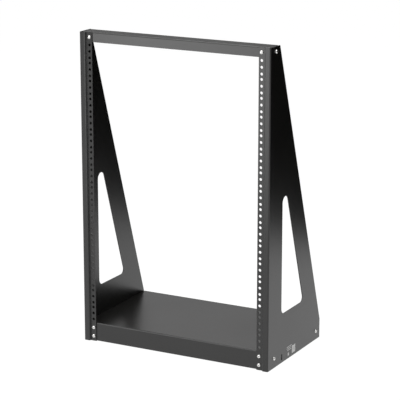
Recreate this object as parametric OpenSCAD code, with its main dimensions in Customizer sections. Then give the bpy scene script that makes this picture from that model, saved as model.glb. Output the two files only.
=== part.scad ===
// Two post open frame rack, 16 units, folded steel sheet.
// Millimetres, +Z up, front towards -Y. The origin is on the floor under
// the middle of the rack. Each side is one folded sheet: drilled flange,
// small jog, front strip, bend and side panel. A shallow tray ties the
// sides together at the floor and a channel ties them at the top.

/* [Rack standard] */
// number of rack units
units = 16; // [6:1:24]
// height of one rack unit
unit_h = 44.45; // [44.45:0.01:44.45]
// distance between the two hole columns
hole_span = 465.1; // [440:0.1:480]
// clear width between the flanges
bay_w = 450.85; // [430:0.05:460]
// width of each drilled flange
flange_w = 16.55; // [15:0.05:18]
// diameter of the mounting holes
hole_d = 7.1; // [5:0.1:8]

/* [Frame] */
// overall width
rack_w = 516; // [506:1:540]
// overall depth at the floor
depth = 300; // [240:5:400]
// depth at the top
top_depth = 50; // [44:1:90]
// height of the tray at the floor
base_h = 48.5; // [46:0.5:60]
// gap between the tray and the first unit
base_gap = 2.5; // [0:0.5:6]
// height of the top channel
bar_h = 24.2; // [22:0.1:40]
// gap between the last unit and the top channel
bar_gap = 0.8; // [0:0.1:4]
// sheet thickness
sheet = 2; // [1.5:0.1:2.5]
// inside radius of the folds
fold_r = 1; // [0.6:0.1:1.5]
// depth of the lips under the tray
lip = 12; // [8:1:20]
// relief cut beside a fold at each corner
relief = 0.5; // [0.3:0.1:2]
// gap between a wall's lower edge and the lip beside it
wall_gap = 1; // [0.5:0.1:2]

/* [Side window] */
// window front edge, from the front of the rack
window_front = 73; // [60:1:85]
// window bottom edge above the floor
window_bottom = 124.3; // [100:0.1:160]
// width of the sloping rim behind the window
window_rim = 71.5; // [55:0.5:80]
// corner radius at the front and at the apex
window_r = 15.5; // [12:0.5:18]
// corner radius at the lower rear
window_rear_r = 12; // [8:0.5:16]

/* [Side slot] */
// slot centre, from the front of the rack
slot_y = 77.5; // [70:0.5:90]
// slot centre above the floor
slot_z = 14.5; // [12:0.5:18]
// slot width
slot_w = 6; // [4:0.5:8]
// slot height
slot_h = 16; // [12:0.5:18]
// clearance round the slot in the tray wall behind it
slot_clear = 1; // [0:0.5:2]

/* [Screws] */
// thread diameter
screw_d = 5; // [4:0.5:6]
// screw head diameter
head_d = 9.5; // [8:0.1:11]
// screw head height
head_h = 3.4; // [2:0.1:4]
// thread that stands out past the nut
thread_end = 1.5; // [0.5:0.5:4]
// spacing of the lower pair of front screws
screw_pitch = 22.2; // [18:0.1:26]
// top side screw, from the front of the rack
side_top_y = 29.5; // [26:0.5:34]
// front lower side screw, from the front of the rack
side_front_y = 34; // [28:0.5:50]
// rear lower side screw, from the rear of the rack
side_rear_y = 24; // [20:0.5:50]
// drop of the rear side screw below the front one
side_rear_drop = 2; // [0:0.5:4]

/* [Hidden] */
$fn = 48;
fold_o = fold_r + sheet;            // outside radius of a fold
jog = sheet + 2 * fold_r;           // set-back of the drilled flange
first_z = base_h + base_gap;        // bottom of the first unit
last_z = first_z + units * unit_h;  // top of the last unit
rack_h = last_z + bar_gap + bar_h;
half_w = rack_w / 2;
front_y = -depth / 2;
flange_y = front_y + jog;           // front face of the drilled flange
tie_y = flange_y + sheet;           // front face of tray and channel
step_x = bay_w / 2 + flange_w;      // inner face of the jog
screw_mid = base_h / 2;
bar_mid = rack_h - bar_h / 2;
nut_af = 1.6 * screw_d;             // standard nut proportions
nut_h = 0.8 * screw_d;
dome_r = 0.62 * head_d;             // rounding of the screw head
unit_holes = [6.35, 22.225, 38.1];
// slope of the rear edge of the side panel, mm back per mm down
slope = (depth - top_depth) / (rack_h - base_h);
slope_len = sqrt(1 + slope * slope);

// quarter of a round fold along +Z, centre (x, y), toward (sx, sy)
module fold_z(x, y, sx, sy, z0, h) {
    intersection() {
        translate([x, y, z0]) difference() {
            cylinder(r = fold_o, h = h);
            translate([0, 0, -1]) cylinder(r = fold_r, h = h + 2);
        }
        translate([sx > 0 ? x : x - fold_o, sy > 0 ? y : y - fold_o, z0])
            cube([fold_o, fold_o, h]);
    }
}

// quarter of a round fold along +X, centre (y, z), toward (sy, sz)
module fold_x(y, z, sy, sz, x0, len) {
    intersection() {
        translate([x0, y, z]) rotate([0, 90, 0]) difference() {
            cylinder(r = fold_o, h = len);
            translate([0, 0, -1]) cylinder(r = fold_r, h = len + 2);
        }
        translate([x0, sy > 0 ? y : y - fold_o, sz > 0 ? z : z - fold_o])
            cube([len, fold_o, fold_o]);
    }
}

// quarter of a round fold along +Y, centre (x, z), toward (sx, sz)
module fold_y(x, z, sx, sz, y0, len) {
    intersection() {
        translate([x, y0, z]) rotate([-90, 0, 0]) difference() {
            cylinder(r = fold_o, h = len);
            translate([0, 0, -1]) cylinder(r = fold_r, h = len + 2);
        }
        translate([sx > 0 ? x : x - fold_o, y0, sz > 0 ? z : z - fold_o])
            cube([fold_o, len, fold_o]);
    }
}

// cylinder along +Y with its start at y
module rod_y(x, y, z, d, len) {
    translate([x, y, z]) rotate([-90, 0, 0]) cylinder(d = d, h = len);
}

// cylinder along +X with its start at x
module rod_x(x, y, z, d, len) {
    translate([x, y, z]) rotate([0, 90, 0]) cylinder(d = d, h = len);
}

// plate standing across X, outline given as [y, z] points
module side_plate(x0, thick, pts) {
    translate([x0, 0, 0]) rotate([90, 0, 90])
        linear_extrude(height = thick) polygon(pts);
}

// rear edge of the side panel at height z
function rear_at(z) = front_y + depth - (z - base_h) * slope;
// sloping edge of the window at height z
function window_at(z) = rear_at(z) - window_rim * slope_len;

// rounded three-cornered window in the right side panel
module window_cut() {
    yf = front_y + window_front;
    // corner circles: front bottom, apex, rear bottom
    ca = [yf + window_r, window_bottom + window_r];
    za = base_h + (front_y + depth - window_rim * slope_len
         - (yf + window_r + window_r * slope_len)) / slope;
    cb = [yf + window_r, za];
    zc = window_bottom + window_rear_r;
    cc = [window_at(zc) - window_rear_r * slope_len, zc];
    // outward normal of the sloping edge
    n = [1 / slope_len, slope / slope_len];
    x0 = half_w - sheet - 1;
    t = sheet + 2;
    side_plate(x0, t, [
        [ca[0], window_bottom], [cc[0], window_bottom], cc,
        cc + n * window_rear_r, cb + n * window_r, cb,
        [yf, cb[1]], [yf, ca[1]], ca]);
    rod_x(x0, ca[0], ca[1], 2 * window_r, t);
    rod_x(x0, cb[0], cb[1], 2 * window_r, t);
    rod_x(x0, cc[0], cc[1], 2 * window_rear_r, t);
}

// upright slot with round ends, through material from x0
module slot_cut(x0, thick, w, h) {
    y = front_y + slot_y;
    rod_x(x0, y, slot_z - (h - w) / 2, w, thick);
    rod_x(x0, y, slot_z + (h - w) / 2, w, thick);
    translate([x0, y - w / 2, slot_z - (h - w) / 2]) cube([thick, w, h - w]);
}

// one folded side: flange, jog, strip, bend, side panel
module side_frame() {
    cy = front_y + fold_o;
    difference() {
        union() {
            translate([bay_w / 2, flange_y, 0])
                cube([step_x - fold_r - bay_w / 2, sheet, rack_h]);
            fold_z(step_x - fold_r, cy, 1, 1, 0, rack_h);
            fold_z(step_x + fold_o, cy, -1, -1, 0, rack_h);
            translate([step_x + fold_o, front_y, 0])
                cube([half_w - step_x - 2 * fold_o, sheet, rack_h]);
            fold_z(half_w - fold_o, cy, 1, -1, 0, rack_h);
            side_plate(half_w - sheet, sheet, [
                [cy, 0], [front_y + depth, 0], [front_y + depth, base_h],
                [front_y + top_depth, rack_h], [cy, rack_h]]);
        }
        for (u = [0 : units - 1]) for (h = unit_holes)
            rod_y(hole_span / 2, flange_y - 1, first_z + u * unit_h + h,
                  hole_d, sheet + 2);
        for (z = [bar_mid, screw_mid + screw_pitch / 2,
                  screw_mid - screw_pitch / 2])
            rod_y(hole_span / 2, flange_y - 1, z, screw_d, sheet + 2);
        for (p = side_points())
            rod_x(half_w - sheet - 1, p[0], p[1], screw_d, sheet + 2);
        window_cut();
        slot_cut(half_w - sheet - 1, sheet + 2, slot_w, slot_h);
    }
}

// side screw positions as [y, z]: top, front lower, rear lower
function side_points() = [
    [front_y + side_top_y, bar_mid],
    [front_y + side_front_y, screw_mid],
    [front_y + depth - side_rear_y, screw_mid - side_rear_drop]];

module right_side_frame() color([0.06, 0.06, 0.065]) side_frame();
module left_side_frame() color([0.06, 0.06, 0.065])
    mirror([1, 0, 0]) side_frame();

// channel across the top, open below, with a tab at each end
module top_bar() color([0.06, 0.06, 0.065]) {
    x1 = half_w - sheet;
    xe = x1 - fold_o - relief;
    z0 = rack_h - bar_h;
    yr = front_y + top_depth;
    difference() {
        union() {
            translate([-xe, tie_y, z0])
                cube([2 * xe, sheet, bar_h - fold_o]);
            fold_x(tie_y + fold_o, rack_h - fold_o, -1, 1, -xe, 2 * xe);
            translate([-xe, tie_y + fold_o, rack_h - sheet])
                cube([2 * xe, yr - tie_y - 2 * fold_o, sheet]);
            fold_x(yr - fold_o, rack_h - fold_o, 1, 1, -xe, 2 * xe);
            translate([-xe, yr - sheet, z0])
                cube([2 * xe, sheet, bar_h - fold_o]);
            for (s = [-1, 1]) {
                y0 = tie_y + fold_o + relief;
                len = yr - tie_y - 2 * (fold_o + relief);
                translate([s > 0 ? xe - 1 : -x1 + fold_o, y0,
                           rack_h - sheet])
                    cube([x1 - fold_o - xe + 1, len, sheet]);
                fold_y(s * (x1 - fold_o), rack_h - fold_o, s, 1, y0, len);
                translate([s > 0 ? x1 - sheet : -x1, y0, z0 + wall_gap])
                    cube([sheet, len, bar_h - fold_o - wall_gap]);
            }
        }
        for (s = [-1, 1]) {
            rod_y(s * hole_span / 2, tie_y - 1, bar_mid, screw_d,
                  sheet + 2);
            rod_x(s * x1 - sheet - 1, front_y + side_top_y, bar_mid,
                  screw_d, 2 * sheet + 2);
        }
    }
}

// shallow tray on the floor, folded down on all four sides
module base_tray() color([0.07, 0.07, 0.075]) {
    x1 = half_w - sheet;
    xe = x1 - fold_o - relief;
    yr = front_y + depth;
    y0 = tie_y + fold_o + relief;
    len = yr - tie_y - 2 * (fold_o + relief);
    wall_h = base_h - 2 * fold_o;
    difference() {
        union() {
            // top sheet
            translate([-xe, tie_y + fold_o, base_h - sheet])
                cube([2 * xe, yr - tie_y - 2 * fold_o, sheet]);
            // front wall with its lip
            fold_x(tie_y + fold_o, base_h - fold_o, -1, 1, -xe, 2 * xe);
            translate([-xe, tie_y, fold_o]) cube([2 * xe, sheet, wall_h]);
            fold_x(tie_y + fold_o, fold_o, -1, -1, -xe, 2 * xe);
            translate([-xe, tie_y + fold_o, 0]) cube([2 * xe, lip, sheet]);
            // rear wall with its lip
            fold_x(yr - fold_o, base_h - fold_o, 1, 1, -xe, 2 * xe);
            translate([-xe, yr - sheet, fold_o])
                cube([2 * xe, sheet, wall_h]);
            fold_x(yr - fold_o, fold_o, 1, -1, -xe, 2 * xe);
            translate([-xe, yr - fold_o - lip, 0])
                cube([2 * xe, lip, sheet]);
            // side walls
            for (s = [-1, 1]) {
                translate([s > 0 ? xe - 1 : -x1 + fold_o, y0,
                           base_h - sheet])
                    cube([x1 - fold_o - xe + 1, len, sheet]);
                fold_y(s * (x1 - fold_o), base_h - fold_o, s, 1, y0, len);
                translate([s > 0 ? x1 - sheet : -x1, y0, sheet + wall_gap])
                    cube([sheet, len, base_h - fold_o - sheet - wall_gap]);
            }
        }
        for (s = [-1, 1]) {
            for (dz = [-1, 1])
                rod_y(s * hole_span / 2, tie_y - 1,
                      screw_mid + dz * screw_pitch / 2, screw_d,
                      sheet + 2);
            for (i = [1, 2])
                rod_x(s * x1 - sheet - 1, side_points()[i][0],
                      side_points()[i][1], screw_d, 2 * sheet + 2);
            slot_cut(s * x1 - sheet - 1, 2 * sheet + 2,
                     slot_w + 2 * slot_clear, slot_h + 2 * slot_clear);
        }
    }
}

// pan head machine screw along +Z, head below z = 0, round recess
module screw() {
    shank = 2 * sheet + nut_h + thread_end;
    difference() {
        union() {
            translate([0, 0, -head_h]) intersection() {
                cylinder(d = head_d, h = head_h);
                translate([0, 0, dome_r]) sphere(r = dome_r);
            }
            cylinder(d = screw_d, h = shank);
        }
        for (a = [0, 90]) rotate([0, 0, a])
            translate([-head_d * 0.24, -head_d * 0.055, -head_h - 1])
                cube([head_d * 0.48, head_d * 0.11, head_h * 0.55 + 1]);
    }
}

// plain hexagon nut along +Z
module nut() {
    difference() {
        cylinder(d = nut_af / cos(30), h = nut_h, $fn = 6);
        translate([0, 0, -1]) cylinder(d = screw_d, h = nut_h + 2);
    }
}

// front screw and nut seats, pointing +Y
module front_screw(s, z) color([0.75, 0.75, 0.75])
    translate([s * hole_span / 2, flange_y, z]) rotate([-90, 0, 0]) screw();
module front_nut(s, z) color([0.6, 0.6, 0.6])
    translate([s * hole_span / 2, tie_y + sheet, z])
        rotate([-90, 0, 0]) nut();

// side screw and nut seats, pointing inward
module side_screw(s, p) color([0.75, 0.75, 0.75])
    translate([s * half_w, p[0], p[1]]) rotate([0, -s * 90, 0]) screw();
module side_nut(s, p) color([0.6, 0.6, 0.6])
    translate([s * (half_w - 2 * sheet), p[0], p[1]])
        rotate([0, -s * 90, 0]) nut();

upper_z = screw_mid + screw_pitch / 2;
lower_z = screw_mid - screw_pitch / 2;

module front_screw_top_left() front_screw(-1, bar_mid);
module front_screw_top_right() front_screw(1, bar_mid);
module front_screw_upper_left() front_screw(-1, upper_z);
module front_screw_upper_right() front_screw(1, upper_z);
module front_screw_lower_left() front_screw(-1, lower_z);
module front_screw_lower_right() front_screw(1, lower_z);
module front_nut_top_left() front_nut(-1, bar_mid);
module front_nut_top_right() front_nut(1, bar_mid);
module front_nut_upper_left() front_nut(-1, upper_z);
module front_nut_upper_right() front_nut(1, upper_z);
module front_nut_lower_left() front_nut(-1, lower_z);
module front_nut_lower_right() front_nut(1, lower_z);
module side_screw_top_left() side_screw(-1, side_points()[0]);
module side_screw_top_right() side_screw(1, side_points()[0]);
module side_screw_front_left() side_screw(-1, side_points()[1]);
module side_screw_front_right() side_screw(1, side_points()[1]);
module side_screw_rear_left() side_screw(-1, side_points()[2]);
module side_screw_rear_right() side_screw(1, side_points()[2]);
module side_nut_top_left() side_nut(-1, side_points()[0]);
module side_nut_top_right() side_nut(1, side_points()[0]);
module side_nut_front_left() side_nut(-1, side_points()[1]);
module side_nut_front_right() side_nut(1, side_points()[1]);
module side_nut_rear_left() side_nut(-1, side_points()[2]);
module side_nut_rear_right() side_nut(1, side_points()[2]);

left_side_frame();
right_side_frame();
top_bar();
base_tray();
front_screw_top_left();
front_screw_top_right();
front_screw_upper_left();
front_screw_upper_right();
front_screw_lower_left();
front_screw_lower_right();
front_nut_top_left();
front_nut_top_right();
front_nut_upper_left();
front_nut_upper_right();
front_nut_lower_left();
front_nut_lower_right();
side_screw_top_left();
side_screw_top_right();
side_screw_front_left();
side_screw_front_right();
side_screw_rear_left();
side_screw_rear_right();
side_nut_top_left();
side_nut_top_right();
side_nut_front_left();
side_nut_front_right();
side_nut_rear_left();
side_nut_rear_right();
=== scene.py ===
"""Looks of a two-post open frame rack: black powder coat, plated fasteners and a studio set.

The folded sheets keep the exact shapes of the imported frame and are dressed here
in procedural finishes. The twelve screws and twelve nuts are made again with
their recesses, threads and chamfers by Geometry Nodes, on the same seats.
All sizes are in metres, in the frame's own axes: X across the rack, Y from
front to back and Z up, with the origin on the floor under the middle.
"""

from __future__ import annotations

import logging
import math
from dataclasses import dataclass, field
from enum import Enum
from typing import Union

import bpy
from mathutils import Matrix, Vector

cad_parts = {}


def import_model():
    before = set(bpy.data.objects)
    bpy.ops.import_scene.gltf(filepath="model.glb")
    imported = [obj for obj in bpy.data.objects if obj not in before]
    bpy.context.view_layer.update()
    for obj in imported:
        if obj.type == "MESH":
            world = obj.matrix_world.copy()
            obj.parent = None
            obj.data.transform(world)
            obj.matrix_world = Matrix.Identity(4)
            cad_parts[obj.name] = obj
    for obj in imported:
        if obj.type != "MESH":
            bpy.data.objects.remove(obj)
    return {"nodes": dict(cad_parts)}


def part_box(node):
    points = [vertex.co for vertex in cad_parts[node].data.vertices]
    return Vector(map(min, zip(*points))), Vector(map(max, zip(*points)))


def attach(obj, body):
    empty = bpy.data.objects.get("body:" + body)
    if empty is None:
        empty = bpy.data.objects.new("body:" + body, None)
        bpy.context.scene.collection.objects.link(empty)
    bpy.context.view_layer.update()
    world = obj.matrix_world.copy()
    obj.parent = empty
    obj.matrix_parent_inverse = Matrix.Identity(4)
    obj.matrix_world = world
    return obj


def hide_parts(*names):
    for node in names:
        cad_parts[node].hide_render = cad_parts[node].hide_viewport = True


LOG = logging.getLogger("open_frame_rack")
MM = 0.001
HALF_DEPTH = 0.15
CREASE = math.radians(38.0)
RECESS_TAPER = 0.42

Colour = tuple[float, float, float]


# ---------------------------------------------------------------------------
# Wiring of node trees
# ---------------------------------------------------------------------------


class Wiring:
    """Adds nodes to one tree and joins their sockets."""

    def __init__(self, tree: bpy.types.NodeTree) -> None:
        """Keeps the tree that the nodes go into.

        Args:
            tree: An empty shader or geometry tree.
        """
        self.tree = tree
        self._column = 0

    def node(self, kind: str, **settings: object) -> bpy.types.Node:
        """Adds a node and sets its options.

        Args:
            kind: The node's type name.
            **settings: Options of the node, such as operation="MULTIPLY".

        Returns:
            The new node.
        """
        made = self.tree.nodes.new(kind)
        made.location = (180 * (self._column % 24), -220 * (self._column // 24))
        self._column += 1
        for name, value in settings.items():
            setattr(made, name, value)
        return made

    def feed(self, socket: bpy.types.NodeSocket, value: object) -> None:
        """Links a term or an output into a socket, or sets a plain value on it.

        Args:
            socket: The input socket.
            value: A Term, an output socket, a number or a tuple.
        """
        if isinstance(value, Term):
            value = value.socket
        if isinstance(value, bpy.types.NodeSocket):
            self.tree.links.new(value, socket)
        else:
            socket.default_value = value

    def term(self, node: bpy.types.Node, output: Union[str, int] = 0) -> Term:
        """Wraps a node's output for use in formulas."""
        return Term(self, node.outputs[output])

    def maths(self, operation: str, *values: object, clamp: bool = False) -> Term:
        """Adds one Math node.

        Args:
            operation: The Math node's operation.
            *values: Its operands, as terms or numbers.
            clamp: Whether the result is held between 0 and 1.

        Returns:
            The result as a term.
        """
        made = self.node("ShaderNodeMath", operation=operation, use_clamp=clamp)
        for socket, value in zip(made.inputs, values):
            self.feed(socket, value)
        return self.term(made)

    def split(self, vector: object) -> tuple[Term, Term, Term]:
        """Splits a vector into its X, Y and Z terms."""
        made = self.node("ShaderNodeSeparateXYZ")
        self.feed(made.inputs[0], vector)
        return self.term(made, 0), self.term(made, 1), self.term(made, 2)

    def join(self, x: object, y: object, z: object) -> Term:
        """Joins three terms or numbers into a vector."""
        made = self.node("ShaderNodeCombineXYZ")
        for socket, value in zip(made.inputs, (x, y, z)):
            self.feed(socket, value)
        return self.term(made)

    def blend(self, amount: object, low: object, high: object) -> Term:
        """Mixes two colours.

        Args:
            amount: 0 for the low colour, 1 for the high colour.
            low: A colour or a colour term.
            high: A colour or a colour term.

        Returns:
            The mixed colour.
        """
        made = self.node("ShaderNodeMix", data_type="RGBA", clamp_factor=True)
        for socket, value in zip(
            (made.inputs["Factor"], made.inputs[6], made.inputs[7]), (amount, low, high)
        ):
            self.feed(socket, (*value, 1.0) if isinstance(value, tuple) else value)
        return Term(self, made.outputs[2])


@dataclass(frozen=True)
class Term:
    """One value in a tree, which the usual signs add, scale and subtract."""

    wiring: Wiring
    socket: bpy.types.NodeSocket

    def __add__(self, other: object) -> Term:
        """Returns the sum."""
        return self.wiring.maths("ADD", self, other)

    def __sub__(self, other: object) -> Term:
        """Returns the difference."""
        return self.wiring.maths("SUBTRACT", self, other)

    def __rsub__(self, other: object) -> Term:
        """Returns the other value less this one."""
        return self.wiring.maths("SUBTRACT", other, self)

    def __mul__(self, other: object) -> Term:
        """Returns the product."""
        return self.wiring.maths("MULTIPLY", self, other)

    def __truediv__(self, other: object) -> Term:
        """Returns the quotient."""
        return self.wiring.maths("DIVIDE", self, other)

    __radd__ = __add__
    __rmul__ = __mul__

    def at_least(self, other: object) -> Term:
        """Returns the larger of the two values."""
        return self.wiring.maths("MAXIMUM", self, other)

    def at_most(self, other: object) -> Term:
        """Returns the smaller of the two values."""
        return self.wiring.maths("MINIMUM", self, other)

    def ramp(self, low: object, high: object) -> Term:
        """Returns 0 at low, 1 at high and a smooth rise between them."""
        made = self.wiring.node("ShaderNodeMapRange", interpolation_type="SMOOTHSTEP")
        for name, value in (("Value", self), ("From Min", low), ("From Max", high)):
            self.wiring.feed(made.inputs[name], value)
        return self.wiring.term(made)


class SocketKind(Enum):
    """The kinds of socket that groups and trees use."""

    NUMBER = "NodeSocketFloat"
    COUNT = "NodeSocketInt"
    VECTOR = "NodeSocketVector"
    GEOMETRY = "NodeSocketGeometry"
    MATERIAL = "NodeSocketMaterial"


def new_group(
    name: str,
    tree_type: str,
    inputs: dict[str, tuple[SocketKind, object]],
    outputs: dict[str, SocketKind],
) -> tuple[Wiring, bpy.types.Node, bpy.types.Node]:
    """Makes an empty node group with named sockets.

    Args:
        name: The group's name.
        tree_type: "ShaderNodeTree" or "GeometryNodeTree".
        inputs: Each input's kind and default value, None where it has none.
        outputs: Each output's kind.

    Returns:
        The wiring of the new tree, its Group Input node and its Group Output node.
    """
    tree = bpy.data.node_groups.new(name, tree_type)
    for label, (kind, value) in inputs.items():
        socket = tree.interface.new_socket(
            name=label, in_out="INPUT", socket_type=kind.value
        )
        if value is not None:
            socket.default_value = value
    for label, kind in outputs.items():
        tree.interface.new_socket(name=label, in_out="OUTPUT", socket_type=kind.value)
    wiring = Wiring(tree)
    return wiring, wiring.node("NodeGroupInput"), wiring.node("NodeGroupOutput")


def use_group(
    wiring: Wiring, tree: bpy.types.NodeTree, values: dict[str, object]
) -> bpy.types.Node:
    """Places a shader group in a material with its own values.

    Args:
        wiring: The material's wiring.
        tree: The group's tree.
        values: The group's input values by name.

    Returns:
        The group node.
    """
    made = wiring.node("ShaderNodeGroup", node_tree=tree)
    for name, value in values.items():
        wiring.feed(made.inputs[name], value)
    return made


# ---------------------------------------------------------------------------
# Shared surface effects
# ---------------------------------------------------------------------------


class SurfaceEffects:
    """The shader groups that several finishes share, each built once."""

    def __init__(self) -> None:
        """Builds the groups."""
        self.skin = self._build_skin()
        self.rub_and_highlight = self._build_rub_and_highlight()
        self.patch = self._build_patch()

    @staticmethod
    def _build_skin() -> bpy.types.NodeTree:
        """Builds the fine skin of a sprayed or plated surface.

        Returns:
            A group that puts out a shade from 0 to 1, a roughness and a height
            in metres, from a peel, a grain, sparse flecks and broad clouds.
        """
        number = SocketKind.NUMBER
        wiring, given, made = new_group(
            "surface skin",
            "ShaderNodeTree",
            {
                "Peel Size": (number, 0.0022),
                "Peel Height": (number, 4e-6),
                "Grain Size": (number, 0.0005),
                "Grain Height": (number, 1.5e-6),
                "Fleck Size": (number, 0.0011),
                "Cloud Size": (number, 0.16),
                "Rough": (number, 0.4),
                "Rough Spread": (number, 0.06),
                "Offset": (number, 0.0),
            },
            {"Shade": number, "Roughness": number, "Height": number},
        )
        place = wiring.node("ShaderNodeTexCoord")
        shifted = wiring.node("ShaderNodeVectorMath", operation="ADD")
        wiring.feed(shifted.inputs[0], place.outputs["Object"])
        wiring.feed(shifted.inputs[1], given.outputs["Offset"])

        def layer(size: str, detail: float, seed: float) -> Term:
            """Adds one layer of noise about as large as the named size."""
            noise = wiring.node("ShaderNodeTexNoise", noise_dimensions="4D")
            wiring.feed(noise.inputs["Vector"], shifted.outputs[0])
            wiring.feed(noise.inputs["W"], seed)
            wiring.feed(
                noise.inputs["Scale"],
                wiring.maths("DIVIDE", 1.0, wiring.term(given, size)),
            )
            wiring.feed(noise.inputs["Detail"], detail)
            return wiring.term(noise, 0) - 0.5

        peel = layer("Peel Size", 1.5, 1.7)
        grain = layer("Grain Size", 2.0, 3.1)
        fleck = layer("Fleck Size", 0.5, 5.3).ramp(0.12, 0.22)
        cloud = layer("Cloud Size", 2.0, 7.9)
        shade = 0.5 + cloud * 0.9 + grain * 0.5 + fleck * 0.25
        rough = (
            wiring.term(given, "Rough")
            + (cloud + grain * 0.6 - fleck * 0.25) * wiring.term(given, "Rough Spread")
        )
        height = (
            peel * wiring.term(given, "Peel Height")
            + grain * wiring.term(given, "Grain Height")
            + fleck * (wiring.term(given, "Grain Height") * 0.8)
        )
        wiring.feed(made.inputs["Shade"], shade)
        wiring.feed(made.inputs["Roughness"], rough)
        wiring.feed(made.inputs["Height"], height)
        return wiring.tree

    @staticmethod
    def _build_rub_and_highlight() -> bpy.types.NodeTree:
        """Builds the light wear that handling leaves along edges and hole rims, with a
        painted highlight on the same edges.

        Returns:
            A group that puts out a mask, 1 where an outer edge is worn and painted lighter
            as a highlight.
        """
        number = SocketKind.NUMBER
        wiring, given, made = new_group(
            "edge rub and painted highlight",
            "ShaderNodeTree",
            {
                "Radius": (number, 0.0007),
                "Patch Size": (number, 0.012),
                "Amount": (number, 0.5),
            },
            {"Mask": number},
        )
        bevel = wiring.node("ShaderNodeBevel", samples=4)
        wiring.feed(bevel.inputs["Radius"], given.outputs["Radius"])
        facing = wiring.node("ShaderNodeVectorMath", operation="DOT_PRODUCT")
        face = wiring.node("ShaderNodeNewGeometry")
        wiring.feed(facing.inputs[0], bevel.outputs[0])
        wiring.feed(facing.inputs[1], face.outputs["Normal"])
        edge = (1.0 - wiring.term(facing, "Value")).ramp(0.02, 0.3)
        place = wiring.node("ShaderNodeTexCoord")
        noise = wiring.node("ShaderNodeTexNoise")
        wiring.feed(noise.inputs["Vector"], place.outputs["Object"])
        wiring.feed(
            noise.inputs["Scale"],
            wiring.maths("DIVIDE", 1.0, wiring.term(given, "Patch Size")),
        )
        wiring.feed(noise.inputs["Detail"], 4.0)
        patchy = wiring.term(noise, 0).ramp(0.42, 0.72)
        wiring.feed(made.inputs["Mask"], edge * patchy * wiring.term(given, "Amount"))
        return wiring.tree

    @staticmethod
    def _build_patch() -> bpy.types.NodeTree:
        """Builds a printed rectangle on the outer face of the right side.

        Returns:
            A group that puts out a mask, 1 inside the rectangle.
        """
        number, vector = SocketKind.NUMBER, SocketKind.VECTOR
        wiring, given, made = new_group(
            "printed rectangle",
            "ShaderNodeTree",
            {
                "Middle": (vector, (0.0, 0.0, 0.0)),
                "Width": (number, 0.01),
                "Height": (number, 0.01),
                "Soft": (number, 0.00012),
                "Face": (number, 0.2575),
            },
            {"Mask": number},
        )
        place = wiring.node("ShaderNodeTexCoord")
        x, y, z = wiring.split(place.outputs["Object"])
        _, mid_y, mid_z = wiring.split(given.outputs["Middle"])
        soft = wiring.term(given, "Soft")
        inside: Term | None = None
        for value, middle, size in ((y, mid_y, "Width"), (z, mid_z, "Height")):
            reach = wiring.maths("ABSOLUTE", value - middle)
            edge = wiring.term(given, size) * 0.5
            part = 1.0 - reach.ramp(edge - soft, edge + soft)
            inside = part if inside is None else inside * part
        outer = wiring.maths("GREATER_THAN", x, wiring.term(given, "Face"))
        wiring.feed(made.inputs["Mask"], inside * outer)
        return wiring.tree


# ---------------------------------------------------------------------------
# Finishes
# ---------------------------------------------------------------------------


def new_material(name: str) -> tuple[bpy.types.Material, Wiring, bpy.types.Node]:
    """Makes a material that holds only a Principled shader and its output.

    Args:
        name: The material's name.

    Returns:
        The material, its wiring and its Principled node.
    """
    made = bpy.data.materials.new(name)
    made.use_nodes = True
    made.node_tree.nodes.clear()
    wiring = Wiring(made.node_tree)
    shader = wiring.node("ShaderNodeBsdfPrincipled")
    output = wiring.node("ShaderNodeOutputMaterial")
    wiring.feed(output.inputs["Surface"], shader.outputs["BSDF"])
    return made, wiring, shader


@dataclass(frozen=True)
class PrintedMark:
    """One plain block or bar printed in white on the right side.

    Attributes:
        along: Its middle, back from the rack's front.
        height: Its middle above the floor.
        width: Its size along the rack's depth.
        tall: Its size along the height.
    """

    along: float
    height: float
    width: float
    tall: float


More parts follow.
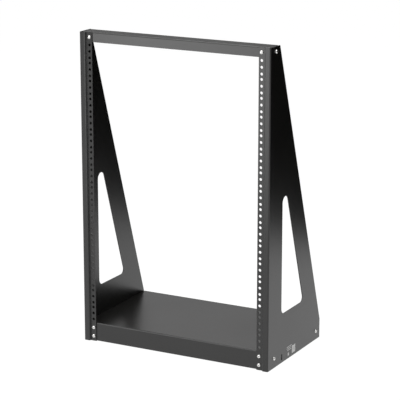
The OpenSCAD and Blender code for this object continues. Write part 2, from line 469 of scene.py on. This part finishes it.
@dataclass(frozen=True)
class PowderCoat:
    """Smooth black powder coat with a faint peel, and edges worn by handling and painted
    lighter as a highlight.

    Attributes:
        dark: Colour of the coat.
        pale: Colour of its lightest flecks.
        rubbed_and_highlit: Colour of a worn edge, which is also a painted highlight.
        rough: Roughness of the film.
        lean: Slope of the surface's height along X, Y and Z, which stands for a
            sheet that is folded a little out of true.
        offset: Shifts the patterns so that no two sheets match.
        ink: Colour of the print.
        marks: What is printed, if anything.
    """

    dark: Colour = (0.0030, 0.0028, 0.0026)
    pale: Colour = (0.0066, 0.0062, 0.0056)
    rubbed_and_highlit: Colour = (0.07, 0.07, 0.072)
    rough: float = 0.31
    lean: tuple[float, float, float] = (0.0, 0.0, 0.0)
    offset: float = 0.0
    ink: Colour = (0.8, 0.8, 0.79)
    marks: tuple[PrintedMark, ...] = ()

    def build(self, name: str, effects: SurfaceEffects) -> bpy.types.Material:
        """Builds the coat as a material.

        Args:
            name: The material's name.
            effects: The shared groups.

        Returns:
            The material.
        """
        made, wiring, shader = new_material(name)
        skin = use_group(
            wiring, effects.skin, {"Rough": self.rough, "Offset": self.offset}
        )
        rub_and_highlight = use_group(wiring, effects.rub_and_highlight, {"Amount": 0.5})
        colour = wiring.blend(wiring.term(skin, "Shade"), self.dark, self.pale)
        # Edges are painted lighter here: partly wear from handling, partly a painted
        # highlight.
        colour = wiring.blend(wiring.term(rub_and_highlight, "Mask"), colour, self.rubbed_and_highlit)
        rough = wiring.term(skin, "Roughness")
        height = wiring.term(skin, "Height")
        if self.marks:
            inked = self._printed(wiring, effects)
            colour = wiring.blend(inked, colour, self.ink)
            rough = rough + inked * 0.12
            height = height + inked * 1.5e-5
        if any(self.lean):
            place = wiring.node("ShaderNodeTexCoord")
            for slope, along in zip(self.lean, wiring.split(place.outputs["Object"])):
                if slope:
                    height = height + along * slope
        soft_edge = wiring.node("ShaderNodeBevel", samples=4)
        soft_edge.inputs["Radius"].default_value = 0.45 * MM
        bump = wiring.node("ShaderNodeBump")
        bump.inputs["Strength"].default_value = 1.0
        bump.inputs["Distance"].default_value = 1.0
        wiring.feed(bump.inputs["Height"], height)
        wiring.feed(bump.inputs["Normal"], soft_edge.outputs[0])
        wiring.feed(shader.inputs["Base Color"], colour)
        wiring.feed(shader.inputs["Roughness"], rough)
        wiring.feed(shader.inputs["Normal"], bump.outputs[0])
        shader.inputs["IOR"].default_value = 1.6
        return made

    def _printed(self, wiring: Wiring, effects: SurfaceEffects) -> Term:
        """Adds up the printed marks.

        Args:
            wiring: The material's wiring.
            effects: The shared groups.

        Returns:
            A mask that is 1 where there is ink.
        """
        total: Term | None = None
        for mark in self.marks:
            patch = use_group(
                wiring,
                effects.patch,
                {
                    "Middle": (0.0, mark.along - HALF_DEPTH, mark.height),
                    "Width": mark.width,
                    "Height": mark.tall,
                },
            )
            part = wiring.term(patch, "Mask")
            total = part if total is None else total + part
        return wiring.maths("MULTIPLY", total, 1.0, clamp=True)


@dataclass(frozen=True)
class BrightPlating:
    """Bright zinc or nickel plating of the screws and nuts.

    Attributes:
        pale: Colour of the clean plating.
        dull: Colour where it is dulled.
        rough: Roughness of the plating.
    """

    pale: Colour = (0.86, 0.86, 0.85)
    dull: Colour = (0.62, 0.61, 0.59)
    rough: float = 0.24

    def build(self, name: str, effects: SurfaceEffects) -> bpy.types.Material:
        """Builds the plating as a material.

        Args:
            name: The material's name.
            effects: The shared groups.

        Returns:
            The material.
        """
        made, wiring, shader = new_material(name)
        skin = use_group(
            wiring,
            effects.skin,
            {
                "Peel Size": 0.0015,
                "Peel Height": 3e-6,
                "Grain Size": 0.00035,
                "Grain Height": 1.2e-6,
                "Fleck Size": 0.0009,
                "Cloud Size": 0.004,
                "Rough": self.rough,
                "Rough Spread": 0.16,
            },
        )
        bump = wiring.node("ShaderNodeBump")
        bump.inputs["Strength"].default_value = 1.0
        bump.inputs["Distance"].default_value = 1.0
        wiring.feed(bump.inputs["Height"], wiring.term(skin, "Height"))
        colour = wiring.blend(wiring.term(skin, "Shade"), self.dull, self.pale)
        wiring.feed(shader.inputs["Base Color"], colour)
        wiring.feed(shader.inputs["Roughness"], wiring.term(skin, "Roughness"))
        wiring.feed(shader.inputs["Normal"], bump.outputs[0])
        shader.inputs["Metallic"].default_value = 1.0
        return made


# ---------------------------------------------------------------------------
# Sheets of the rack
# ---------------------------------------------------------------------------


class Side(Enum):
    """The two sides of the rack."""

    LEFT = "left"
    RIGHT = "right"


def dress(node: bpy.types.Object, material: bpy.types.Material) -> None:
    """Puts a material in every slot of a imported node.

    Args:
        node: The node's object.
        material: Its finish.
    """
    for slot in node.material_slots:
        slot.material = material
    LOG.info("%s: %d faces, %s", node.name, len(node.data.polygons), material.name)


@dataclass
class SideFrame:
    """One post with its side panel, folded from one sheet.

    Attributes:
        side: Which side it is.
        coat: Its powder coat.
    """

    side: Side
    coat: PowderCoat

    def build(
        self, nodes: dict[str, bpy.types.Object], effects: SurfaceEffects
    ) -> None:
        """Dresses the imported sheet."""
        dress(
            nodes[f"{self.side.value}_side_frame"],
            self.coat.build(f"powder coat {self.side.value}", effects),
        )


@dataclass
class CrossSheet:
    """A sheet between the two sides: the top bar or the base tray.

    Attributes:
        node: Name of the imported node.
        coat: Its powder coat.
    """

    node: str
    coat: PowderCoat

    def build(
        self, nodes: dict[str, bpy.types.Object], effects: SurfaceEffects
    ) -> None:
        """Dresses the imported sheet."""
        dress(nodes[self.node], self.coat.build(f"powder coat {self.node}", effects))


# ---------------------------------------------------------------------------
# Fasteners
# ---------------------------------------------------------------------------


class Driven(Enum):
    """The way in which a fastener's shank points."""

    BACK = (0.0, 1.0, 0.0)
    TO_LEFT = (-1.0, 0.0, 0.0)
    TO_RIGHT = (1.0, 0.0, 0.0)

    @classmethod
    def of(cls, node: str) -> Driven:
        """Returns the way that a packed fastener points, from its name."""
        if node.startswith("front"):
            return cls.BACK
        return cls.TO_LEFT if node.endswith("right") else cls.TO_RIGHT


@dataclass
class Fastener:
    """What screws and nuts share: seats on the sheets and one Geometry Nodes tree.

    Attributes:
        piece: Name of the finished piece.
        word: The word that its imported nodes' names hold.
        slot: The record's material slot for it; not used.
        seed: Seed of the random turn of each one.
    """

    piece: str
    word: str
    slot: str
    seed: int

    def seat(self, low: Vector, high: Vector, way: Vector) -> Vector:
        """Returns the seat of a fastener that fills the given box."""
        return (low + high) / 2

    def sizes(self) -> dict[str, float]:
        """Returns the tree's named sizes."""
        return {}

    def shape(self, wiring: Wiring, given: bpy.types.Node) -> object:
        """Builds one fastener along +Z in the tree and returns its mesh socket."""
        raise NotImplementedError

    def tree(self) -> bpy.types.NodeTree:
        """Builds the tree that sets one fastener on every seat.

        Returns:
            The Geometry Nodes tree.
        """
        sizes = {name: (SocketKind.NUMBER, size) for name, size in self.sizes().items()}
        wiring, given, made = new_group(
            self.piece,
            "GeometryNodeTree",
            {
                "Seats": (SocketKind.GEOMETRY, None),
                **sizes,
                "Seed": (SocketKind.COUNT, 0),
                "Finish": (SocketKind.MATERIAL, None),
            },
            {"Fasteners": SocketKind.GEOMETRY},
        )
        smooth = wiring.node("GeometryNodeSetShadeSmooth", domain="FACE")
        wiring.feed(smooth.inputs["Geometry"], self.shape(wiring, given))
        angle = wiring.node("GeometryNodeInputMeshEdgeAngle")
        sharp = wiring.node("FunctionNodeCompare", operation="GREATER_THAN")
        wiring.feed(sharp.inputs[0], angle.outputs["Unsigned Angle"])
        wiring.feed(sharp.inputs[1], CREASE)
        crisp = wiring.node("GeometryNodeSetShadeSmooth", domain="EDGE")
        wiring.feed(crisp.inputs["Geometry"], smooth.outputs[0])
        wiring.feed(crisp.inputs["Selection"], sharp.outputs[0])
        wiring.feed(crisp.inputs["Shade Smooth"], False)
        way = wiring.node("GeometryNodeInputNamedAttribute", data_type="FLOAT_VECTOR")
        wiring.feed(way.inputs["Name"], "way")
        aim = wiring.node("FunctionNodeAlignRotationToVector", axis="Z")
        wiring.feed(aim.inputs["Vector"], way.outputs[0])
        chance = wiring.node("FunctionNodeRandomValue", data_type="FLOAT")
        wiring.feed(chance.inputs[2], 0.0)
        wiring.feed(chance.inputs[3], 2.0 * math.pi)
        wiring.feed(chance.inputs["Seed"], given.outputs["Seed"])
        spin = wiring.node("FunctionNodeAxisAngleToRotation")
        wiring.feed(spin.inputs["Axis"], (0.0, 0.0, 1.0))
        wiring.feed(spin.inputs["Angle"], chance.outputs[1])
        turned = wiring.node("FunctionNodeRotateRotation", rotation_space="LOCAL")
        wiring.feed(turned.inputs[0], aim.outputs[0])
        wiring.feed(turned.inputs[1], spin.outputs[0])
        placed = wiring.node("GeometryNodeInstanceOnPoints")
        wiring.feed(placed.inputs["Points"], given.outputs["Seats"])
        wiring.feed(placed.inputs["Instance"], crisp.outputs[0])
        wiring.feed(placed.inputs["Rotation"], turned.outputs[0])
        real = wiring.node("GeometryNodeRealizeInstances")
        wiring.feed(real.inputs[0], placed.outputs[0])
        finish = wiring.node("GeometryNodeSetMaterial")
        wiring.feed(finish.inputs["Geometry"], real.outputs[0])
        wiring.feed(finish.inputs["Material"], given.outputs["Finish"])
        wiring.feed(made.inputs[0], finish.outputs[0])
        return wiring.tree

    def build(
        self, nodes: dict[str, bpy.types.Object], material: bpy.types.Material
    ) -> bpy.types.Object:
        """Makes all fasteners of this sort as one plain mesh.

        Args:
            nodes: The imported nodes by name.
            material: The fasteners' finish.

        Returns:
            The finished piece.
        """
        names = sorted(name for name in nodes if self.word in name)
        ways = [Vector(Driven.of(name).value) for name in names]
        seats = [self.seat(*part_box(name), way) for name, way in zip(names, ways)]
        mesh = bpy.data.meshes.new(f"{self.piece} seats")
        mesh.from_pydata(seats, [], [])
        pointing = mesh.attributes.new("way", "FLOAT_VECTOR", "POINT")
        for entry, way in zip(pointing.data, ways):
            entry.vector = way
        holder = bpy.data.objects.new(f"{self.piece} seats", mesh)
        bpy.context.scene.collection.objects.link(holder)
        tree = self.tree()
        modifier = holder.modifiers.new("fasteners", "NODES")
        modifier.node_group = tree
        values = {**self.sizes(), "Seed": self.seed, "Finish": material}
        for item in tree.interface.items_tree:
            if item.name in values and item.in_out == "INPUT":
                modifier[item.identifier] = values[item.name]
        graph = bpy.context.evaluated_depsgraph_get()
        plain = bpy.data.meshes.new_from_object(holder.evaluated_get(graph))
        holder.modifiers.remove(modifier)
        bpy.data.objects.remove(holder)
        plain.name = self.piece
        body = bpy.data.objects.new(self.piece, plain)
        bpy.context.scene.collection.objects.link(body)
        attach(body, "root")
        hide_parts(*names)
        LOG.info("%s: %d on %d faces", self.piece, len(names), len(plain.polygons))
        return body


def lathe_terms(wiring: Wiring) -> tuple[Term, Term, Term, Term]:
    """Reads a vertex's place as turned work.

    Args:
        wiring: The tree's wiring.

    Returns:
        Its radius, its angle, its height along Z and its unit X and Y as a vector.
    """
    place = wiring.node("GeometryNodeInputPosition")
    x, y, z = wiring.split(place.outputs[0])
    radius = wiring.maths("SQRT", x * x + y * y)
    angle = wiring.maths("ARCTAN2", y, x)
    across = wiring.node("ShaderNodeVectorMath", operation="NORMALIZE")
    wiring.feed(across.inputs[0], wiring.join(x, y, 0.0))
    return radius, angle, z, wiring.term(across)


def place_ring(
    wiring: Wiring, mesh: object, across: Term, radius: object, z: object
) -> object:
    """Moves each vertex to a new radius and height, at its own angle.

    Args:
        wiring: The tree's wiring.
        mesh: The mesh to reshape.
        across: Each vertex's unit direction from the axis.
        radius: Its new radius.
        z: Its new height.

    Returns:
        The reshaped mesh.
    """
    x, y, _ = wiring.split(across)
    moved = wiring.node("GeometryNodeSetPosition")
    wiring.feed(moved.inputs["Geometry"], mesh)
    wiring.feed(moved.inputs["Position"], wiring.join(x * radius, y * radius, z))
    return moved.outputs[0]


def cut_away(wiring: Wiring, solid: object, *cutters: object) -> object:
    """Cuts solids out of another in the tree and returns what is left."""
    cut = wiring.node("GeometryNodeMeshBoolean", operation="DIFFERENCE")
    cut.solver = "EXACT"
    wiring.feed(cut.inputs[0], solid)
    for cutter in cutters:
        wiring.feed(cut.inputs[1], cutter)
    return cut.outputs[0]


@dataclass
class CrossScrews(Fastener):
    """Pan head machine screws with a cross recess.

    Attributes:
        packed_head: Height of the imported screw's head, down to its seat.
        head_width: Diameter of the head.
        head_tall: Height of the head.
        shank_width: Diameter over the thread.
        shank_long: Length under the head.
        pitch: Rise of the thread in one turn.
        thread_deep: Depth of the thread.
        recess_wide: Width across the cross recess.
        recess_slim: Width of one of its arms.
        recess_deep: Its depth.
        dome_curve: Power that shapes the head's dome.
        rim_curve: Power that shapes the head's rim.
    """

    packed_head: float = 3.4 * MM
    head_width: float = 9.46 * MM
    head_tall: float = 3.36 * MM
    shank_width: float = 4.94 * MM
    shank_long: float = 9.46 * MM
    pitch: float = 0.8 * MM
    thread_deep: float = 0.42 * MM
    recess_wide: float = 5.4 * MM
    recess_slim: float = 1.25 * MM
    recess_deep: float = 2.0 * MM
    dome_curve: float = 0.72
    rim_curve: float = 0.78

    def seat(self, low: Vector, high: Vector, way: Vector) -> Vector:
        """Returns the point under the head, where it meets the sheet."""
        middle = (low + high) / 2
        half = abs((high - low).dot(way)) / 2
        return middle + way * (self.packed_head - half)

    def sizes(self) -> dict[str, float]:
        """Returns the tree's named sizes."""
        return {
            "Head Width": self.head_width,
            "Head Height": self.head_tall,
            "Shank Width": self.shank_width,
            "Shank Length": self.shank_long,
            "Pitch": self.pitch,
            "Thread Depth": self.thread_deep,
            "Recess Width": self.recess_wide,
            "Arm Width": self.recess_slim,
            "Recess Depth": self.recess_deep,
        }

    def shape(self, wiring: Wiring, given: bpy.types.Node) -> object:
        """Builds one screw, its head below the seat and its shank above.

        Args:
            wiring: The tree's wiring.
            given: The tree's Group Input node.

        Returns:
            The screw's mesh socket.
        """
        size = {name: wiring.term(given, name) for name in self.sizes()}
        ball = wiring.node("GeometryNodeMeshUVSphere")
        for name, value in (("Segments", 36), ("Rings", 22), ("Radius", 1.0)):
            wiring.feed(ball.inputs[name], value)
        radius, _, z, across = lathe_terms(wiring)
        crown = wiring.maths("POWER", (0.0 - z).at_least(0.0), self.dome_curve)
        spread = wiring.maths("POWER", radius, self.rim_curve)
        head = place_ring(
            wiring,
            ball.outputs[0],
            across,
            spread * size["Head Width"] * 0.5,
            crown * size["Head Height"] * -1.0,
        )
        head = cut_away(wiring, head, *self._recess(wiring, size))
        rod = wiring.node("GeometryNodeMeshCylinder", fill_type="NGON")
        for name, value in (("Vertices", 24), ("Side Segments", 70), ("Radius", 1.0)):
            wiring.feed(rod.inputs[name], value)
        wiring.feed(rod.inputs["Depth"], 1.0)
        _, angle, z, across = lathe_terms(wiring)
        along = (z + 0.5) * size["Shank Length"]
        turn = wiring.maths("FRACT", along / size["Pitch"] - angle / (2.0 * math.pi))
        groove = 1.0 - wiring.maths("ABSOLUTE", turn * 2.0 - 1.0)
        full = size["Shank Width"] * 0.5
        lead = (size["Shank Length"] - along) + full - size["Thread Depth"]
        shank = place_ring(
            wiring,
            rod.outputs[0],
            across,
            (full - groove * size["Thread Depth"]).at_most(lead),
            along,
        )
        both = wiring.node("GeometryNodeJoinGeometry")
        wiring.feed(both.inputs[0], head)
        wiring.feed(both.inputs[0], shank)
        return both.outputs[0]

    @staticmethod
    def _recess(wiring: Wiring, size: dict[str, Term]) -> list[object]:
        """Builds the tapering arms and the middle of the cross recess.

        Args:
            wiring: The tree's wiring.
            size: The tree's sizes.

        Returns:
            The cutters' mesh sockets.
        """
        cutters = []
        for long_x in (True, False):
            bar = wiring.node("GeometryNodeMeshCube")
            wide, slim = size["Recess Width"], size["Arm Width"]
            deep = size["Recess Depth"]
            x, y = (wide, slim) if long_x else (slim, wide)
            wiring.feed(bar.inputs["Size"], wiring.join(x, y, deep * 2.0))
            place = wiring.node("GeometryNodeInputPosition")
            px, py, pz = wiring.split(place.outputs[0])
            taper = 1.0 - wiring.maths("GREATER_THAN", pz, 0.0) * RECESS_TAPER
            moved = wiring.node("GeometryNodeSetPosition")
            wiring.feed(moved.inputs["Geometry"], bar.outputs[0])
            wiring.feed(
                moved.inputs["Position"],
                wiring.join(px * taper, py * taper, pz - size["Head Height"]),
            )
            cutters.append(moved.outputs[0])
        return cutters


@dataclass
class HexNuts(Fastener):
    """Hexagon nuts with chamfered corners.

    Attributes:
        flats: Width across the flats.
        thick: Thickness.
        bore: Diameter of the bore.
        corner_from: Radius of the chamfer at the faces, as a share of half the flats.
        corner_slope: How fast the chamfer widens with depth.
    """

    flats: float = 7.96 * MM
    thick: float = 3.98 * MM
    bore: float = 4.96 * MM
    corner_from: float = 0.97
    corner_slope: float = 1.8

    def sizes(self) -> dict[str, float]:
        """Returns the tree's named sizes."""
        return {"Flats": self.flats, "Thickness": self.thick, "Bore": self.bore}

    def shape(self, wiring: Wiring, given: bpy.types.Node) -> object:
        """Builds one nut round its middle.

        Args:
            wiring: The tree's wiring.
            given: The tree's Group Input node.

        Returns:
            The nut's mesh socket.
        """
        size = {name: wiring.term(given, name) for name in self.sizes()}
        block = wiring.node("GeometryNodeMeshCylinder", fill_type="NGON")
        for name, value in (("Vertices", 48), ("Side Segments", 10), ("Radius", 1.0)):
            wiring.feed(block.inputs[name], value)
        wiring.feed(block.inputs["Depth"], 1.0)
        _, angle, z, across = lathe_terms(wiring)
        flat = size["Flats"] * 0.5
        turn = wiring.maths("FLOORED_MODULO", angle, math.pi / 3.0) - math.pi / 6.0
        hexagon = flat / wiring.maths("COSINE", turn)
        up = z * size["Thickness"]
        rise = size["Thickness"] * 0.5 - wiring.maths("ABSOLUTE", up)
        nut = place_ring(
            wiring,
            block.outputs[0],
            across,
            hexagon.at_most(flat * self.corner_from + rise * self.corner_slope),
            up,
        )
        drill = wiring.node("GeometryNodeMeshCylinder", fill_type="NGON")
        wiring.feed(drill.inputs["Vertices"], 32)
        wiring.feed(drill.inputs["Radius"], size["Bore"] * 0.5)
        wiring.feed(drill.inputs["Depth"], size["Thickness"] * 2.0)
        return cut_away(wiring, nut, drill.outputs[0])


# ---------------------------------------------------------------------------
# The studio
# ---------------------------------------------------------------------------


@dataclass
class SoftBox:
    """A large soft lamp.

    Attributes:
        name: The lamp's name.
        place: Its middle.
        aim: The point that it faces.
        width: Its width.
        tall: Its height.
        glow: Its brightness, where a white wall in plain light is 1.
    """

    name: str
    place: tuple[float, float, float]
    aim: tuple[float, float, float]
    width: float
    tall: float
    glow: float

    def build(self) -> None:
        """Adds the lamp, out of the camera's sight."""
        lamp = bpy.data.lights.new(self.name, "AREA")
        lamp.shape = "RECTANGLE"
        lamp.size, lamp.size_y = self.width, self.tall
        lamp.energy = self.glow * math.pi * self.width * self.tall
        body = bpy.data.objects.new(self.name, lamp)
        body.location = self.place
        look = Vector(self.aim) - Vector(self.place)
        body.rotation_euler = look.to_track_quat("-Z", "Y").to_euler()
        body.visible_camera = False
        bpy.context.scene.collection.objects.link(body)
        LOG.info("lamp %s: glow %.2f", self.name, self.glow)


@dataclass
class Studio:
    """Pale floor, white surroundings, dark cards, lamps and the camera.

    Attributes:
        eye: Where the camera stands.
        turn: Its bearing round the rack, in degrees to the right of the front.
        tilt: How far it looks down, in degrees.
        lens: Focal length in millimetres on a 36 mm sensor.
        cloth_from: Where the black cloth behind the rack begins, as Y.
        card_radius: How far off the ring of black cards stands.
        card_top: How high the ring is.
        tall_card_top: How high it is where it is tall.
        tall_card_at: Bearing of its tall part from +X, in degrees.
        tall_card_reach: How far that part runs to each side, in degrees.
        tall_card_fade: Over how many degrees it drops to the rest.
        card_count: How many cards the ring has.
        card_foot: How low the ring reaches.
        cloth_height: How high the cloth lies.
        floor_reach: Half the floor's width.
        floor_paint: How pale the floor is in plain light.
        floor_white: How much of the seen floor is plain white.
        floor_glow: Strength of that white.
        sky_fill: Strength of the surroundings in diffuse light.
        sky_seen: What is added to it where the surroundings are seen.
        lamps: The soft lamps.
    """

    eye: tuple[float, float, float] = (2.01404, -3.78694, 1.46651)
    turn: float = 28.0804
    tilt: float = 14.4345
    lens: float = 160.02
    cloth_from: float = 0.95
    card_radius: float = 14.0
    card_top: float = 4.6
    tall_card_top: float = 11.0
    tall_card_at: float = 60.0
    tall_card_reach: float = 55.0
    tall_card_fade: float = 20.0
    card_count: int = 72
    card_foot: float = -8.0
    cloth_height: float = 0.002
    floor_reach: float = 9.0
    floor_paint: float = 0.85
    floor_white: float = 0.88
    floor_glow: float = 1.1
    sky_fill: float = 0.3
    sky_seen: float = 0.75
    lamps: list[SoftBox] = field(
        default_factory=lambda: [
            SoftBox(
                "front box", (-0.98, -1.92, 0.72), (0.0, 0.0, 0.45), 0.95, 1.4, 3.2
            ),
            SoftBox("top box", (0.1, -0.2, 2.7), (0.0, 0.0, 0.0), 2.2, 2.2, 3.0),
        ]
    )

    def build(self) -> None:
        """Builds the whole set."""
        bpy.context.scene.view_settings.view_transform = "Standard"
        self._camera()
        self._floor()
        self._surroundings()
        self._dark_cards()
        for lamp in self.lamps:
            lamp.build()

    def _camera(self) -> None:
        """Adds the camera."""
        data = bpy.data.cameras.new("camera")
        data.lens = self.lens
        data.sensor_width = 36.0
        data.clip_start, data.clip_end = 0.1, 100.0
        body = bpy.data.objects.new("camera", data)
        body.location = self.eye
        body.rotation_euler = (
            math.radians(90.0 - self.tilt),
            0.0,
            math.radians(self.turn),
        )
        bpy.context.scene.collection.objects.link(body)
        bpy.context.scene.camera = body

    @staticmethod
    def _seen(wiring: Wiring) -> Term:
        """Returns 1 for rays of the camera and of glossy or clear surfaces."""
        path = wiring.node("ShaderNodeLightPath")
        seen = wiring.term(path, "Is Camera Ray").at_least(
            wiring.term(path, "Is Glossy Ray")
        )
        return seen.at_least(wiring.term(path, "Is Transmission Ray"))

    def _floor(self) -> None:
        """Adds the pale floor, which is white but keeps a soft shadow."""
        made = bpy.data.materials.new("floor")
        made.use_nodes = True
        made.node_tree.nodes.clear()
        wiring = Wiring(made.node_tree)
        paint = wiring.node("ShaderNodeBsdfDiffuse")
        paint.inputs["Color"].default_value = (self.floor_paint,) * 3 + (1.0,)
        white = wiring.node("ShaderNodeEmission")
        mix = wiring.node("ShaderNodeMixShader")
        white.inputs["Strength"].default_value = self.floor_glow
        wiring.feed(mix.inputs[0], self._seen(wiring) * self.floor_white)
        wiring.feed(mix.inputs[1], paint.outputs[0])
        wiring.feed(mix.inputs[2], white.outputs[0])
        output = wiring.node("ShaderNodeOutputMaterial")
        wiring.feed(output.inputs["Surface"], mix.outputs[0])
        reach = self.floor_reach
        self._sheet("floor", -reach, reach, -reach, reach, 0.0, made)

    @staticmethod
    def _sheet(
        name: str,
        left: float,
        right: float,
        front: float,
        rear: float,
        height: float,
        material: bpy.types.Material,
    ) -> bpy.types.Object:
        """Adds a level sheet of the set.

        Args:
            name: The sheet's name.
            left: Its lowest X.
            right: Its highest X.
            front: Its lowest Y.
            rear: Its highest Y.
            height: Its Z.
            material: Its material.

        Returns:
            The new object.
        """
        mesh = bpy.data.meshes.new(name)
        mesh.from_pydata(
            [
                (left, front, height),
                (right, front, height),
                (right, rear, height),
                (left, rear, height),
            ],
            [],
            [(0, 1, 2, 3)],
        )
        mesh.materials.append(material)
        body = bpy.data.objects.new(name, mesh)
        bpy.context.scene.collection.objects.link(body)
        return body

    def _surroundings(self) -> None:
        """Makes the world white to the camera and pale grey to diffuse light."""
        world = bpy.data.worlds.new("surroundings")
        bpy.context.scene.world = world
        world.use_nodes = True
        world.node_tree.nodes.clear()
        wiring = Wiring(world.node_tree)
        back = wiring.node("ShaderNodeBackground")
        back.inputs["Color"].default_value = (1.0, 1.0, 1.0, 1.0)
        wiring.feed(
            back.inputs["Strength"],
            self._seen(wiring) * self.sky_seen + self.sky_fill,
        )
        output = wiring.node("ShaderNodeOutputWorld")
        wiring.feed(output.inputs["Surface"], back.outputs[0])

    def _dark_cards(self) -> None:
        """Adds black cards and a black cloth that only glossy surfaces see.

        The ring is taller behind the right side, where the two tall panels
        would otherwise mirror the white surroundings.
        """
        made = bpy.data.materials.new("black card")
        made.use_nodes = True
        made.node_tree.nodes.clear()
        wiring = Wiring(made.node_tree)
        card = wiring.node("ShaderNodeBsdfDiffuse")
        card.inputs["Color"].default_value = (0.004, 0.004, 0.004, 1.0)
        output = wiring.node("ShaderNodeOutputMaterial")
        wiring.feed(output.inputs["Surface"], card.outputs[0])
        count, corners = self.card_count, []
        for low in (True, False):
            for i in range(count):
                angle = 2.0 * math.pi * i / count
                bearing = math.degrees(angle) - self.tall_card_at
                off = abs((bearing + 180.0) % 360.0 - 180.0)
                inward = (self.tall_card_reach - off) / self.tall_card_fade
                share = min(1.0, max(0.0, inward))
                top = self.card_top + (self.tall_card_top - self.card_top) * share
                corners.append(
                    (
                        self.card_radius * math.cos(angle),
                        self.card_radius * math.sin(angle),
                        self.card_foot if low else top,
                    )
                )
        faces = [
            (i, (i + 1) % count, count + (i + 1) % count, count + i)
            for i in range(count)
        ]
        mesh = bpy.data.meshes.new("black cards")
        mesh.from_pydata(corners, [], faces)
        mesh.materials.append(made)
        body = bpy.data.objects.new("black cards", mesh)
        bpy.context.scene.collection.objects.link(body)
        cloth = self._sheet(
            "black cloth",
            -self.card_radius,
            self.card_radius,
            self.cloth_from,
            self.card_radius,
            self.cloth_height,
            made,
        )
        for card in (body, cloth):
            for kind in ("camera", "diffuse", "transmission", "shadow"):
                setattr(card, f"visible_{kind}", False)


# ---------------------------------------------------------------------------
# The rack
# ---------------------------------------------------------------------------


def main() -> None:
    """Builds the rack and the set in order."""
    logging.basicConfig(level=logging.INFO, format="%(name)s: %(message)s")
    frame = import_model()
    bpy.context.view_layer.update()
    nodes = frame["nodes"]
    Studio().build()
    effects = SurfaceEffects()
    marks = (
        PrintedMark(0.1455, 0.0165, 0.0190, 0.0195),
        PrintedMark(0.1205, 0.0296, 0.0270, 0.0017),
        PrintedMark(0.1195, 0.0253, 0.0250, 0.0017),
        PrintedMark(0.1205, 0.0209, 0.0230, 0.0017),
        PrintedMark(0.1155, 0.0105, 0.0075, 0.0075),
    )
    for part in (
        SideFrame(Side.LEFT, PowderCoat(lean=(0.16, 0.0, 0.0))),
        SideFrame(Side.RIGHT, PowderCoat(offset=3.0, marks=marks)),
        CrossSheet("top_bar", PowderCoat(offset=6.0)),
        CrossSheet("base_tray", PowderCoat(lean=(0.0, 0.05, 0.0), offset=9.0)),
    ):
        part.build(nodes, effects)
    for fastener, plating in (
        (CrossScrews("screws", "screw", "screw_plating", 11), BrightPlating()),
        (
            HexNuts("nuts", "nut", "nut_plating", 5),
            BrightPlating((0.66, 0.66, 0.64), (0.44, 0.43, 0.41), 0.34),
        ),
    ):
        fastener.build(nodes, plating.build(f"{fastener.piece} plating", effects))


if __name__ == "__main__":
    main()
